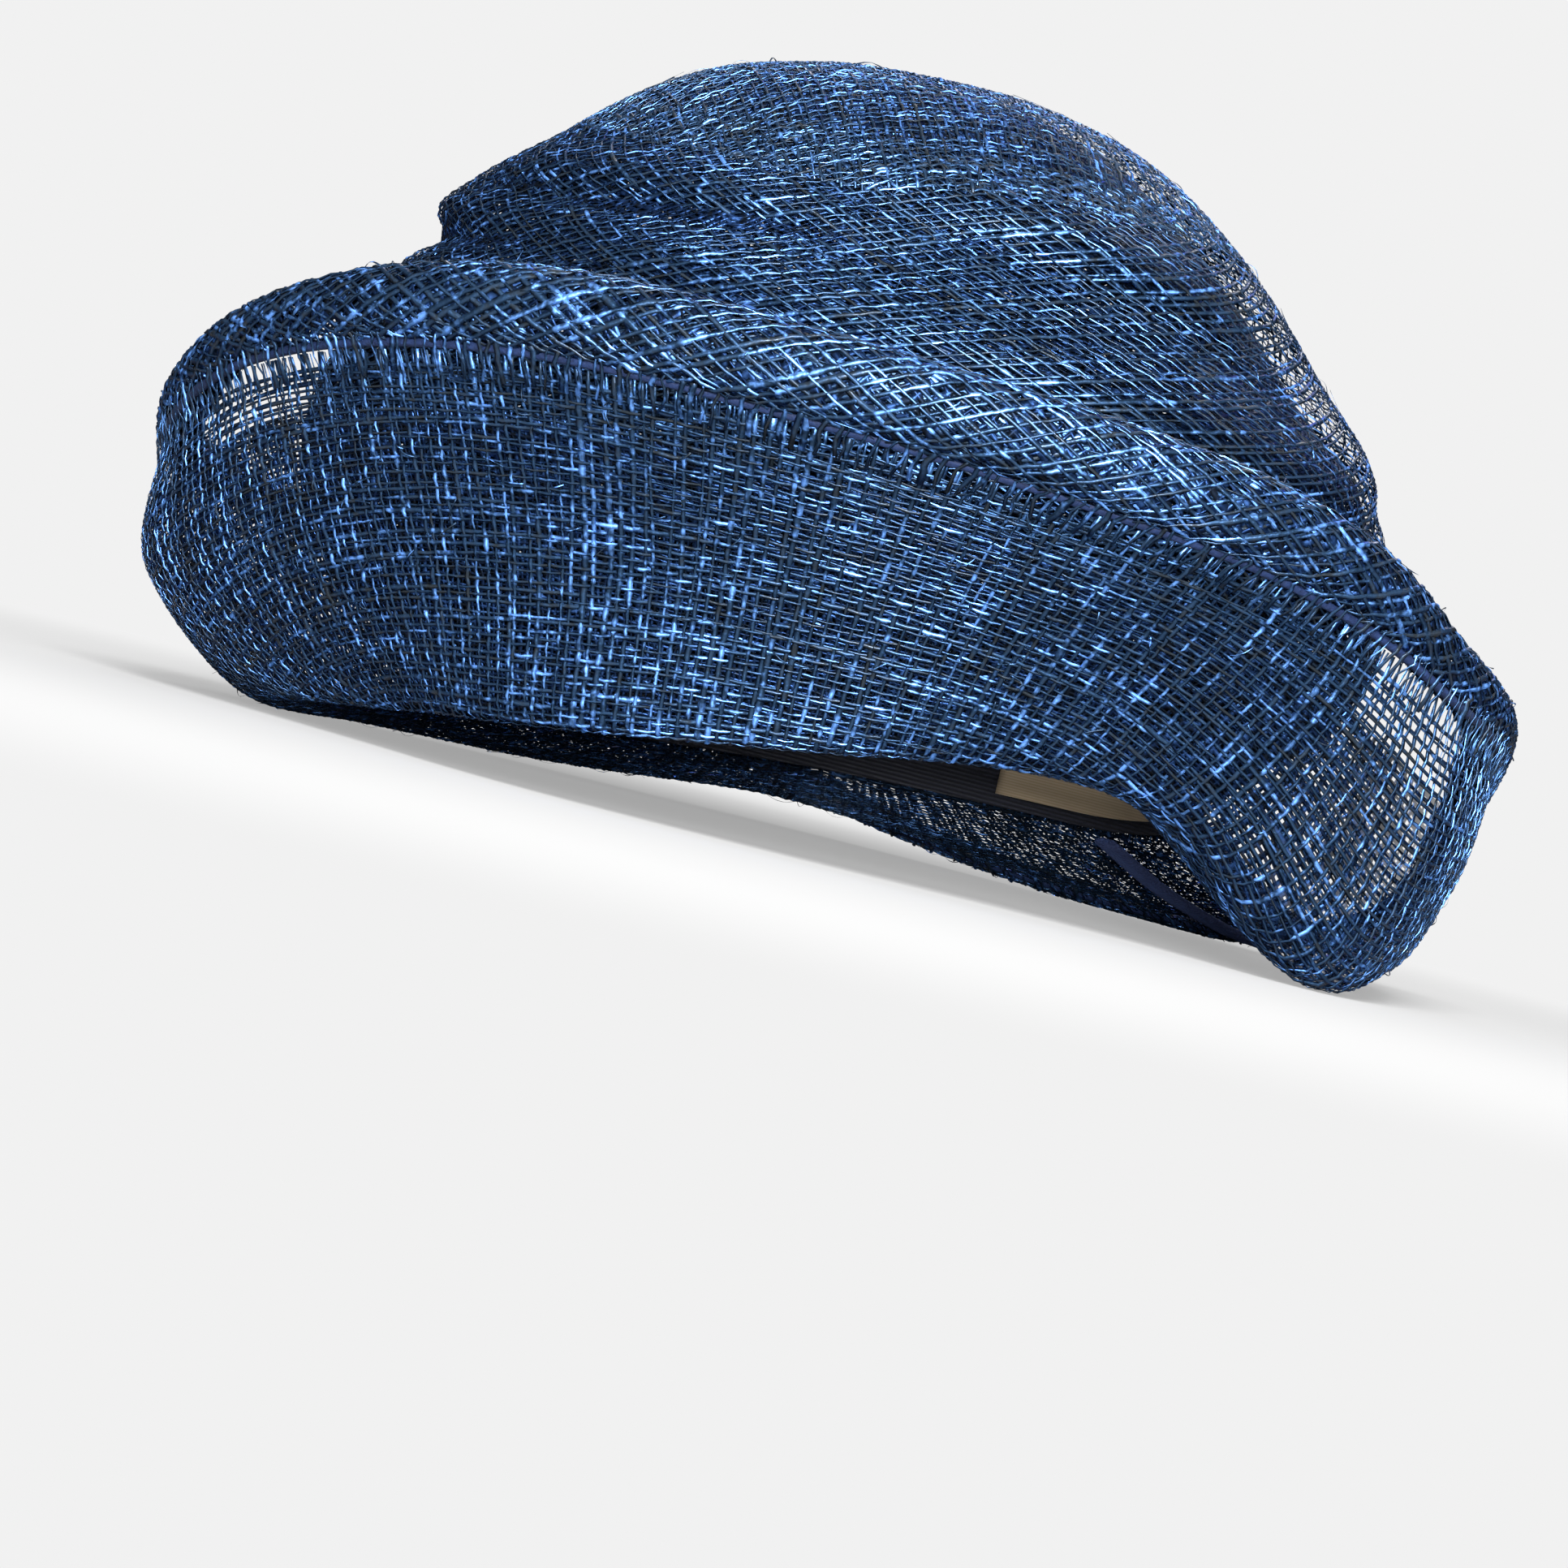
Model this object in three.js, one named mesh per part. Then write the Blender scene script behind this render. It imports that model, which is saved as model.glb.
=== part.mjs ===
// A soft hat of stiffened open-weave straw: a draped crown on a wide brim that is folded up in
// front, dips at both sides and falls away behind. The brim's edge is wired, and a bias strip
// curls back from the wire.
// Millimetres, +Z up. The front of the hat faces -Y and the wearer's left is +X. It stands on
// the lowest parts of its brim, with the origin on the floor below the middle of its box.
import * as THREE from "three";

// Driving sizes
const HEAD_WIDTH = 164; // head opening from side to side, at the middle of the cloth
const HEAD_LENGTH = 196; // head opening from front to back
const CROWN_TOP = 172; // height of the crown's highest point
const CROWN_LEAN = 4; // how far the top of the crown lies to the wearer's right
const CLOTH = 1.6; // thickness of the stiffened cloth of crown and brim
const STRIP_CLOTH = 1.2; // thickness of the bias strip that makes the roll
const GAP = 0.3; // clear space between neighbouring pieces
const WIRE_RADIUS = 1.1; // covered wire along the brim's edge
const COLLAR = 2.5; // upright hem where crown and brim are sewn together
const REST_PITCH = 3.5; // how far the hat tips forward, in degrees, to rest on its brim
const STEPS_ROUND = 64; // sections round the head

// Sections round the head, a row for each angle in degrees (0 front, 90 the wearer's left, 180
// back). R is a distance from the middle of the head opening, Z a height.
//   head   where crown and brim meet        fold   lowest line of the brim, its turn-up
//   belly  middle of the turned-up cloth    edge   wired edge
//   roll   radius of the curled strip       hip    widest reach of the crown
const SECTIONS = [
  { angle: 0, headZ: 32, foldR: 103, foldZ: 26, bellyR: 115, bellyZ: 58, edgeR: 138, edgeZ: 95, rollR: 8.2, hipR: 108 },
  { angle: 30, headZ: 38, foldR: 99, foldZ: 33, bellyR: 114, bellyZ: 64, edgeR: 139, edgeZ: 94, rollR: 8.2, hipR: 105 },
  { angle: 60, headZ: 43, foldR: 101, foldZ: 38, bellyR: 123, bellyZ: 62, edgeR: 146, edgeZ: 87, rollR: 8.3, hipR: 111 },
  { angle: 75, headZ: 42, foldR: 115, foldZ: 33, bellyR: 136, bellyZ: 56, edgeR: 148, edgeZ: 79, rollR: 8, hipR: 114 },
  { angle: 90, headZ: 39, foldR: 128, foldZ: 6.8, bellyR: 144, bellyZ: 38, edgeR: 147, edgeZ: 68, rollR: 7, hipR: 116 },
  { angle: 105, headZ: 36, foldR: 128, foldZ: 8, bellyR: 142, bellyZ: 31, edgeR: 145, edgeZ: 61, rollR: 6, hipR: 116 },
  { angle: 120, headZ: 32, foldR: 124, foldZ: 8, bellyR: 140, bellyZ: 24, edgeR: 145, edgeZ: 53, rollR: 5, hipR: 116 },
  { angle: 135, headZ: 28, foldR: 121, foldZ: 8, bellyR: 141, bellyZ: 15, edgeR: 149, edgeZ: 38, rollR: 4, hipR: 117 },
  { angle: 150, headZ: 24, foldR: 121, foldZ: 8, bellyR: 143, bellyZ: 6, edgeR: 156, edgeZ: 12, rollR: 3, hipR: 120 },
  { angle: 165, headZ: 21, foldR: 117, foldZ: 10, bellyR: 140, bellyZ: 3, edgeR: 156, edgeZ: 0, rollR: 2.2, hipR: 123 },
  { angle: 180, headZ: 20, foldR: 115, foldZ: 11, bellyR: 136, bellyZ: 3.5, edgeR: 154, edgeZ: -2, rollR: 2, hipR: 125 },
  { angle: 195, headZ: 19.5, foldR: 114, foldZ: 11, bellyR: 135, bellyZ: 4, edgeR: 153, edgeZ: 0, rollR: 2.2, hipR: 125 },
  { angle: 210, headZ: 19, foldR: 117, foldZ: 9, bellyR: 138, bellyZ: 5, edgeR: 153, edgeZ: 6, rollR: 2.8, hipR: 124 },
  { angle: 240, headZ: 18, foldR: 126, foldZ: 4, bellyR: 144, bellyZ: 11, edgeR: 150, edgeZ: 27, rollR: 4, hipR: 122 },
  { angle: 270, headZ: 19, foldR: 129, foldZ: 6.3, bellyR: 149, bellyZ: 21, edgeR: 151, edgeZ: 45, rollR: 4, hipR: 121 },
  { angle: 285, headZ: 20, foldR: 127, foldZ: 8, bellyR: 151, bellyZ: 27, edgeR: 151, edgeZ: 52, rollR: 4, hipR: 121 },
  { angle: 300, headZ: 21.5, foldR: 119, foldZ: 13, bellyR: 148.5, bellyZ: 34, edgeR: 150, edgeZ: 59, rollR: 4.5, hipR: 120 },
  { angle: 330, headZ: 25.5, foldR: 100, foldZ: 20, bellyR: 124, bellyZ: 47, edgeR: 141, edgeZ: 83, rollR: 6.5, hipR: 114 },
];

// The crown from the head opening up: rise is the share of its height, grip how far the cloth
// still follows the head opening, reach the share of the hip radius where it doesn't.
const CROWN_LEVELS = [
  { rise: 0, grip: 1, reach: 0.96 },
  { rise: 0.06, grip: 0.62, reach: 0.96 },
  { rise: 0.13, grip: 0.22, reach: 0.975 },
  { rise: 0.22, grip: 0, reach: 0.985 },
  { rise: 0.35, grip: 0, reach: 1 },
  { rise: 0.46, grip: 0, reach: 0.96 },
  { rise: 0.56, grip: 0, reach: 0.895 },
  { rise: 0.66, grip: 0, reach: 0.8 },
  { rise: 0.75, grip: 0, reach: 0.71 },
  { rise: 0.83, grip: 0, reach: 0.61 },
  { rise: 0.9, grip: 0, reach: 0.5 },
  { rise: 0.955, grip: 0, reach: 0.37 },
  { rise: 0.99, grip: 0, reach: 0.2 },
];
const CROWN_STEPS = 20; // rings from the head opening to the last one below the top

// Soft folds that the drape leaves in the crown. Each runs round the crown from the middle
// angle by its span to both sides, at a height that climbs with the angle, and stands out.
const DRAPES = [
  { angle: 303, span: 45, height: 126, climb: 0.02, out: 6, breadth: 7 },
  { angle: 350, span: 70, height: 136, climb: 0.03, out: 3.5, breadth: 7 },
  { angle: 55, span: 60, height: 143, climb: -0.16, out: 3.5, breadth: 8 },
  { angle: 75, span: 50, height: 112, climb: -0.1, out: 3, breadth: 9 },
  { angle: 150, span: 70, height: 118, climb: 0.12, out: 3.5, breadth: 9 },
  { angle: 235, span: 60, height: 134, climb: -0.1, out: 3.5, breadth: 9 },
];

const BRIM_STEPS = 11; // points across the brim
const ROLL_STEPS = 7; // points across the curled strip
const ROLL_LEAN = 35; // how far the strip leans outwards from the brim where it is sewn on
const ROLL_SWEEP = 230; // how far it curls round

const BAND_HEIGHT = 26; // ribbon inside the head opening
const BAND_THICKNESS = 1;
const BAND_DROP = 2; // how far it hangs below the joint of crown and brim
const LABEL_WIDTH = 68; // plain woven label sewn inside the band, behind
const LABEL_HEIGHT = 16;
const LABEL_THICKNESS = 0.6;
const LABEL_LIFT = 3; // above the band's lower edge
const BACK_SEAM_ANGLE = 164; // bound seam that closes the brim, and the middle of the label
const SEAM_WIDTH = 6.4;
const SEAM_HEIGHT = 2.6;
const SEAM_STEPS = 14;

const rad = THREE.MathUtils.degToRad;

// Smooth value of one column at any angle round the head
function roundHead(column) {
  const n = SECTIONS.length;
  const row = (i) => SECTIONS[((i % n) + n) % n];
  const angleAt = (i) => row(i).angle + 360 * Math.floor(i / n);
  const slopeAt = (i) =>
    (row(i + 1)[column] - row(i - 1)[column]) / (angleAt(i + 1) - angleAt(i - 1));
  return (angle) => {
    const a = ((angle % 360) + 360) % 360;
    let i = n - 1;
    while (SECTIONS[i].angle > a) i -= 1;
    const run = angleAt(i + 1) - angleAt(i);
    const t = (a - angleAt(i)) / run;
    return (
      row(i)[column] * (1 + 2 * t) * (1 - t) ** 2 +
      slopeAt(i) * run * t * (1 - t) ** 2 +
      row(i + 1)[column] * t * t * (3 - 2 * t) +
      slopeAt(i + 1) * run * t * t * (t - 1)
    );
  };
}

const section = Object.fromEntries(
  Object.keys(SECTIONS[0])
    .filter((column) => column !== "angle")
    .map((column) => [column, roundHead(column)]),
);
const headR = (angle) =>
  1 / Math.hypot(Math.sin(rad(angle)) / (HEAD_WIDTH / 2), Math.cos(rad(angle)) / (HEAD_LENGTH / 2));

const angles = Array.from({ length: STEPS_ROUND }, (_, i) => (360 * i) / STEPS_ROUND);

// A point at an angle round the head, from a profile point (x = distance out, y = height)
const place = (angle, p) =>
  new THREE.Vector3(p.x * Math.sin(rad(angle)), -p.x * Math.cos(rad(angle)), p.y);

// Points along a smooth curve through a few profile points, as many for each stretch
const smooth = (points, count) => new THREE.SplineCurve(points).getPoints(count - 1);

// The two faces of a sheet: its profile moved half the thickness to each side
function bothFaces(profile, thickness) {
  const moved = (side) =>
    profile.map((p, i) => {
      const before = profile[Math.max(i - 1, 0)];
      const after = profile[Math.min(i + 1, profile.length - 1)];
      const along = after.clone().sub(before).normalize();
      return new THREE.Vector2(p.x + along.y * side, p.y - along.x * side);
    });
  return [...moved(thickness / 2), ...moved(-thickness / 2).reverse()];
}

// Closed skin over rings of equally many points. The first and the last ring are joined to
// each other, or closed by a fan to the two points in ends.
function skin(rings, ends) {
  const n = rings[0].length;
  const points = rings.flat();
  const index = [];
  const last = ends ? rings.length - 1 : rings.length;
  for (let j = 0; j < last; j += 1) {
    for (let i = 0; i < n; i += 1) {
      const a = j * n + i;
      const b = j * n + ((i + 1) % n);
      const c = ((j + 1) % rings.length) * n + ((i + 1) % n);
      const d = ((j + 1) % rings.length) * n + i;
      index.push(a, b, c, a, c, d);
    }
  }
  if (ends) {
    const [start, end] = [points.length, points.length + 1];
    const top = (rings.length - 1) * n;
    points.push(...ends);
    for (let i = 0; i < n; i += 1) {
      index.push(start, (i + 1) % n, i, end, top + i, top + ((i + 1) % n));
    }
  }
  const geometry = new THREE.BufferGeometry().setFromPoints(points);
  geometry.setIndex(index);
  geometry.computeVertexNormals();
  return geometry;
}

// Rings round the head, one for each point of the profile that profileAt gives at an angle
function ringsRoundHead(profileAt) {
  const profiles = angles.map((angle) => profileAt(angle));
  return profiles[0].map((_, j) => angles.map((angle, i) => place(angle, profiles[i][j])));
}

// ---- Shapes of the cloth -------------------------------------------------------------------

// Direction in which the brim reaches its edge, as an angle from upright, leaning out
const edgeLean = (angle) =>
  Math.atan2(
    section.edgeR(angle) - section.bellyR(angle),
    section.edgeZ(angle) - section.bellyZ(angle),
  );

function brimProfile(angle) {
  const head = new THREE.Vector2(headR(angle), section.headZ(angle));
  const collar = new THREE.Vector2(head.x, head.y - COLLAR);
  const fold = new THREE.Vector2(section.foldR(angle), section.foldZ(angle));
  const belly = new THREE.Vector2(section.bellyR(angle), section.bellyZ(angle));
  const lean = edgeLean(angle);
  const stop = WIRE_RADIUS + GAP;
  const edge = new THREE.Vector2(
    section.edgeR(angle) - Math.sin(lean) * stop,
    section.edgeZ(angle) - Math.cos(lean) * stop,
  );
  return [head, ...smooth([collar, fold, belly, edge], BRIM_STEPS - 1)];
}

function rollProfile(angle) {
  const start = edgeLean(angle) + rad(ROLL_LEAN);
  const radius = section.rollR(angle);
  const out = new THREE.Vector2(Math.sin(start), Math.cos(start));
  const from = new THREE.Vector2(section.edgeR(angle), section.edgeZ(angle)).addScaledVector(
    out,
    WIRE_RADIUS + GAP,
  );
  const middle = from.clone().add(new THREE.Vector2(-out.y, out.x).multiplyScalar(radius));
  return Array.from({ length: ROLL_STEPS }, (_, i) => {
    const turn = start - (rad(ROLL_SWEEP) * i) / (ROLL_STEPS - 1);
    return new THREE.Vector2(
      middle.x + Math.cos(turn) * radius,
      middle.y - Math.sin(turn) * radius,
    );
  });
}

function drape(angle, height) {
  return DRAPES.reduce((sum, fold) => {
    const away = ((angle - fold.angle + 540) % 360) - 180;
    if (Math.abs(away) >= fold.span) return sum;
    const fade = Math.cos((away / fold.span) * (Math.PI / 2)) ** 2;
    const off = (height - fold.height - fold.climb * away) / fold.breadth;
    return sum + fold.out * fade * Math.exp(-off * off);
  }, 0);
}

function crownProfile(angle) {
  const foot = section.headZ(angle) + GAP;
  const collar = foot + COLLAR;
  const points = CROWN_LEVELS.map(({ rise, grip, reach }) => {
    const loose = section.hipR(angle) * reach;
    const height = collar + rise * (CROWN_TOP - collar);
    return new THREE.Vector2(headR(angle) * grip + loose * (1 - grip), height);
  });
  const cloth = new THREE.SplineCurve(points).getSpacedPoints(CROWN_STEPS - 2);
  return [
    new THREE.Vector2(headR(angle), foot),
    ...cloth.map((p) => new THREE.Vector2(p.x + drape(angle, p.y), p.y)),
  ];
}

// ---- Pieces --------------------------------------------------------------------------------

const straw = new THREE.MeshStandardMaterial({ color: 0x14244a, roughness: 0.45, metalness: 0.1 });
const trim = new THREE.MeshStandardMaterial({ color: 0x0d1a44, roughness: 0.7, metalness: 0 });
const ribbon = new THREE.MeshStandardMaterial({ color: 0x0b0f1c, roughness: 0.8, metalness: 0 });
const cream = new THREE.MeshStandardMaterial({ color: 0xd9cfb4, roughness: 0.75, metalness: 0 });

const hat = new THREE.Group();

function add(name, geometry, material) {
  const mesh = new THREE.Mesh(geometry, material);
  mesh.name = name;
  hat.add(mesh);
}

// Crown: one skin from the top inside, down and round the hem, up to the top outside
function crown() {
  const rings = ringsRoundHead((angle) => {
    const faces = bothFaces(crownProfile(angle), CLOTH);
    return [...faces.slice(CROWN_STEPS), ...faces.slice(0, CROWN_STEPS)];
  });
  const outside = new THREE.Vector3(0, 0, CROWN_TOP + CLOTH / 2);
  const inside = new THREE.Vector3(0, 0, CROWN_TOP - CLOTH / 2);
  for (const p of [...rings.flat(), outside, inside]) {
    p.x -= CROWN_LEAN * THREE.MathUtils.smoothstep(p.z, CROWN_TOP / 4, CROWN_TOP);
  }
  return skin(rings, [inside, outside]);
}

// A tube of a few sides right round the brim's edge
function wire() {
  const sides = 6;
  return skin(
    ringsRoundHead((angle) =>
      Array.from({ length: sides }, (_, i) => {
        const turn = (2 * Math.PI * i) / sides;
        return new THREE.Vector2(
          section.edgeR(angle) + Math.cos(turn) * WIRE_RADIUS,
          section.edgeZ(angle) + Math.sin(turn) * WIRE_RADIUS,
        );
      }),
    ),
  );
}

const bandOuter = (angle) => headR(angle) - CLOTH / 2 - GAP;
const bandBottom = (angle) => section.headZ(angle) - BAND_DROP;

function headband() {
  return skin(
    ringsRoundHead((angle) => {
      const [outer, bottom] = [bandOuter(angle), bandBottom(angle)];
      return [
        new THREE.Vector2(outer, bottom),
        new THREE.Vector2(outer, bottom + BAND_HEIGHT),
        new THREE.Vector2(outer - BAND_THICKNESS, bottom + BAND_HEIGHT),
        new THREE.Vector2(outer - BAND_THICKNESS, bottom),
      ];
    }),
  );
}

function label() {
  const half = (LABEL_WIDTH / 2 / headR(BACK_SEAM_ANGLE)) * (180 / Math.PI);
  const steps = 6;
  const outlines = Array.from({ length: steps + 1 }, (_, i) => {
    const angle = BACK_SEAM_ANGLE - half + (2 * half * i) / steps;
    const outer = bandOuter(angle) - BAND_THICKNESS - GAP;
    const bottom = bandBottom(angle) + LABEL_LIFT;
    return [
      new THREE.Vector2(outer, bottom),
      new THREE.Vector2(outer - LABEL_THICKNESS, bottom),
      new THREE.Vector2(outer - LABEL_THICKNESS, bottom + LABEL_HEIGHT),
      new THREE.Vector2(outer, bottom + LABEL_HEIGHT),
    ].map((p) => place(angle, p));
  });
  const middle = (ring) =>
    ring.reduce((sum, p) => sum.add(p), new THREE.Vector3()).divideScalar(ring.length);
  return skin(outlines, [middle(outlines[0]), middle(outlines[steps])]);
}

// Bound seam on the underside of the brim, from the head opening to the edge
function backSeam() {
  const sides = 8;
  const under = CLOTH / 2 + GAP + SEAM_HEIGHT / 2;
  const line = bothFaces(brimProfile(BACK_SEAM_ANGLE), 2 * under).slice(1, BRIM_STEPS);
  const path = new THREE.SplineCurve(line).getSpacedPoints(SEAM_STEPS);
  const across = new THREE.Vector3(Math.cos(rad(BACK_SEAM_ANGLE)), Math.sin(rad(BACK_SEAM_ANGLE)), 0);
  const rings = path.map((p, i) => {
    const before = path[Math.max(i - 1, 0)];
    const after = path[Math.min(i + 1, path.length - 1)];
    const along = after.clone().sub(before).normalize();
    return Array.from({ length: sides }, (_, k) => {
      const turn = (2 * Math.PI * k) / sides;
      const lift = (Math.cos(turn) * SEAM_HEIGHT) / 2;
      return place(BACK_SEAM_ANGLE, new THREE.Vector2(p.x - along.y * lift, p.y + along.x * lift))
        .addScaledVector(across, (-Math.sin(turn) * SEAM_WIDTH) / 2);
    });
  });
  return skin(rings, [place(BACK_SEAM_ANGLE, path[0]), place(BACK_SEAM_ANGLE, path.at(-1))]);
}

add("crown", crown(), straw);
add("brim", skin(ringsRoundHead((angle) => bothFaces(brimProfile(angle), CLOTH))), straw);
add("brim_roll", skin(ringsRoundHead((angle) => bothFaces(rollProfile(angle), STRIP_CLOTH))), straw);
add("edge_wire", wire(), trim);
add("brim_back_seam", backSeam(), trim);
add("headband", headband(), ribbon);
add("label", label(), cream);

// Tip the hat on to the parts of the brim that it rests on, over the middle of its box
hat.rotation.x = rad(REST_PITCH);
const box = new THREE.Box3().setFromObject(hat, true);
hat.position.set(-(box.min.x + box.max.x) / 2, -(box.min.y + box.max.y) / 2, -box.min.z);

export default hat;
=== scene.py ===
import math

import bmesh
import bpy
import numpy as np
from mathutils import Matrix, Vector


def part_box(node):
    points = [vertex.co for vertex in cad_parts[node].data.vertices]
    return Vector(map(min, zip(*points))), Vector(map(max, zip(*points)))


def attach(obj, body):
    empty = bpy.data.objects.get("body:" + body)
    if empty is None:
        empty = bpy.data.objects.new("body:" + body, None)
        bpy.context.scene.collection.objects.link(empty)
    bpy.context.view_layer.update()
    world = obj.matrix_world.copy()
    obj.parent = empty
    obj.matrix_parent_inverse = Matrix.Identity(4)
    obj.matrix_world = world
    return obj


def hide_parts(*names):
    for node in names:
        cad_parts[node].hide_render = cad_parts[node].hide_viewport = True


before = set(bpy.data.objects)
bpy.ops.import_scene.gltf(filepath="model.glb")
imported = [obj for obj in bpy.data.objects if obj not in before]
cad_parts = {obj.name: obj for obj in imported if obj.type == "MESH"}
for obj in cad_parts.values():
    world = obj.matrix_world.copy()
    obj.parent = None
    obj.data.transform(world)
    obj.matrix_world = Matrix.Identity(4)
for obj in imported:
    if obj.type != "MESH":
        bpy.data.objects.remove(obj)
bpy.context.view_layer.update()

# ---- Headband -------------------------------------------------------------------------------
# A dark grosgrain ribbon stitched inside the head opening. It is the piece that fits the head,
# so the shape of the opening and the way the hat tips forward are settled here.
HEAD_WIDTH = 164
HEAD_LENGTH = 196
# thickness of the straw, gap between pieces that are sewn together, upright rim at the head line
CLOTH = 1.6
GAP = 0.3
COLLAR = 2.5
REST_PITCH = math.radians(3.5)
BAND_HEIGHT = 26
BAND_THICKNESS = 1
BAND_DROP = 2
BACK_SEAM_ANGLE = 164

# Angle round the head, height of the head line, distance out and height of the brim's fold, belly
# and edge, radius of the roll and reach of the crown, in degrees and millimetres
stations = np.array([
    # angle headZ foldR foldZ bellyR bellyZ edgeR edgeZ rollR hipR
    (0, 32, 103, 26, 115, 58, 138, 95, 8.2, 108),
    (30, 38, 99, 33, 114, 64, 139, 94, 8.2, 105),
    (60, 43, 101, 38, 123, 62, 146, 87, 8.3, 111),
    (75, 42, 115, 33, 136, 56, 148, 79, 8, 114),
    (90, 39, 128, 6.8, 144, 38, 147, 68, 7, 116),
    (105, 36, 128, 8, 142, 31, 145, 61, 6, 116),
    (120, 32, 124, 8, 140, 24, 145, 53, 5, 116),
    (135, 28, 121, 8, 141, 15, 149, 38, 4, 117),
    (150, 24, 121, 8, 143, 6, 156, 12, 3, 120),
    (165, 21, 117, 10, 140, 3, 156, 0, 2.2, 123),
    (180, 20, 115, 11, 136, 3.5, 154, -2, 2, 125),
    (195, 19.5, 114, 11, 135, 4, 153, 0, 2.2, 125),
    (210, 19, 117, 9, 138, 5, 153, 6, 2.8, 124),
    (240, 18, 126, 4, 144, 11, 150, 27, 4, 122),
    (270, 19, 129, 6.3, 149, 21, 151, 45, 4, 121),
    (285, 20, 127, 8, 151, 27, 151, 52, 4, 121),
    (300, 21.5, 119, 13, 148.5, 34, 150, 59, 4.5, 120),
    (330, 25.5, 100, 20, 124, 47, 141, 83, 6.5, 114),
])
COLUMNS = ("headZ", "foldR", "foldZ", "bellyR", "bellyZ", "edgeR", "edgeZ", "rollR", "hipR")


def round_the_head(column, angle):
    """Smooth value of a column of the stations at any angles, in degrees."""
    at = np.concatenate((stations[-2:, 0] - 360, stations[:, 0], stations[:3, 0] + 360))
    value = stations[:, 1 + COLUMNS.index(column)]
    value = np.concatenate((value[-2:], value, value[:3]))
    a = np.mod(angle, 360)
    i = np.searchsorted(at, a, side="right") - 1
    run = at[i + 1] - at[i]
    t = (a - at[i]) / run
    slope = (value[i + 1] - value[i - 1]) / (at[i + 1] - at[i - 1])
    next_slope = (value[i + 2] - value[i]) / (at[i + 2] - at[i])
    return (
        value[i] * (1 + 2 * t) * (1 - t) ** 2
        + slope * run * t * (1 - t) ** 2
        + value[i + 1] * t * t * (3 - 2 * t)
        + next_slope * run * t * t * (t - 1)
    )


def head_line(angle):
    """Distance of the head opening from its middle."""
    a = np.radians(angle)
    return 1 / np.hypot(np.sin(a) / (HEAD_WIDTH / 2), np.cos(a) / (HEAD_LENGTH / 2))


def place(angle, out, up):
    """Points at an angle round the head, a distance out and a height."""
    a = np.radians(angle)
    return np.stack((out * np.sin(a), -out * np.cos(a), up + 0 * a), axis=-1)


def tipped(p):
    """The hat tips forward on its brim."""
    c, s = math.cos(REST_PITCH), math.sin(REST_PITCH)
    x, y, z = p[..., 0], p[..., 1], p[..., 2]
    return np.stack((x, c * y - s * z, s * y + c * z), axis=-1)


def band_section(angle):
    """Four corners of the ribbon, from outside below, against the turn of the head."""
    outer = head_line(angle) - CLOTH / 2 - GAP
    bottom = round_the_head("headZ", angle) - BAND_DROP
    inner = outer - BAND_THICKNESS
    return [
        place(angle, outer, bottom),
        place(angle, outer, bottom + BAND_HEIGHT),
        place(angle, inner, bottom + BAND_HEIGHT),
        place(angle, inner, bottom),
    ]


BAND_SIDES = 64
corners = tipped(np.concatenate(band_section(np.arange(BAND_SIDES) * 360 / BAND_SIDES)))
low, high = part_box("headband")
band_middle = np.array((low + high) / 2) * 1000
shift = band_middle - (corners.min(0) + corners.max(0)) / 2


def settled(p):
    """From millimetres about the head opening to the hat's place on the floor, in metres."""
    return (tipped(np.asarray(p, float)) + shift) / 1000


def loft(name, rings, closed=False):
    """Skin over rings of equally many points, closed by its ends or joined right round."""
    bm = bmesh.new()
    loops = []
    for ring in rings:
        verts = [bm.verts.new(p) for p in ring]
        edges = [bm.edges.new((verts[i - 1], verts[i])) for i in range(len(verts))]
        loops.append(edges)
    pairs = list(zip(loops, loops[1:] + loops[:1])) if closed else list(zip(loops, loops[1:]))
    for one, other in pairs:
        bmesh.ops.bridge_loops(bm, edges=one + other)
    if not closed:
        bmesh.ops.holes_fill(bm, edges=loops[0] + loops[-1], sides=0)
    bmesh.ops.recalc_face_normals(bm, faces=bm.faces)
    mesh = bpy.data.meshes.new(name)
    bm.to_mesh(mesh)
    bm.free()
    if sum(f.center.dot(f.normal) * f.area for f in mesh.polygons) < 0:
        mesh.flip_normals()
    mesh.polygons.foreach_set("use_smooth", [True] * len(mesh.polygons))
    piece = bpy.data.objects.new(name, mesh)
    bpy.context.scene.collection.objects.link(piece)
    return piece


def material(name):
    """An empty node material with its Principled shader."""
    made = bpy.data.materials.new(name)
    made.use_nodes = True
    return made, made.node_tree, made.node_tree.nodes["Principled BSDF"]


def two_tone(tree, shader, effect, dark, light):
    """Colour between a dark and a light shade, by an effect from 0 to 1."""
    tone = tree.nodes.new("ShaderNodeValToRGB")
    tone.color_ramp.elements[0].color = dark
    tone.color_ramp.elements[1].color = light
    tree.links.new(effect, tone.inputs["Fac"])
    tree.links.new(tone.outputs["Color"], shader.inputs["Base Color"])


def relief(tree, shader, height, depth, strength=1.0):
    """Fine relief that changes how light falls, its depth in metres."""
    bump = tree.nodes.new("ShaderNodeBump")
    bump.inputs["Distance"].default_value = depth
    bump.inputs["Strength"].default_value = strength
    tree.links.new(height, bump.inputs["Height"])
    tree.links.new(bump.outputs["Normal"], shader.inputs["Normal"])


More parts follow.
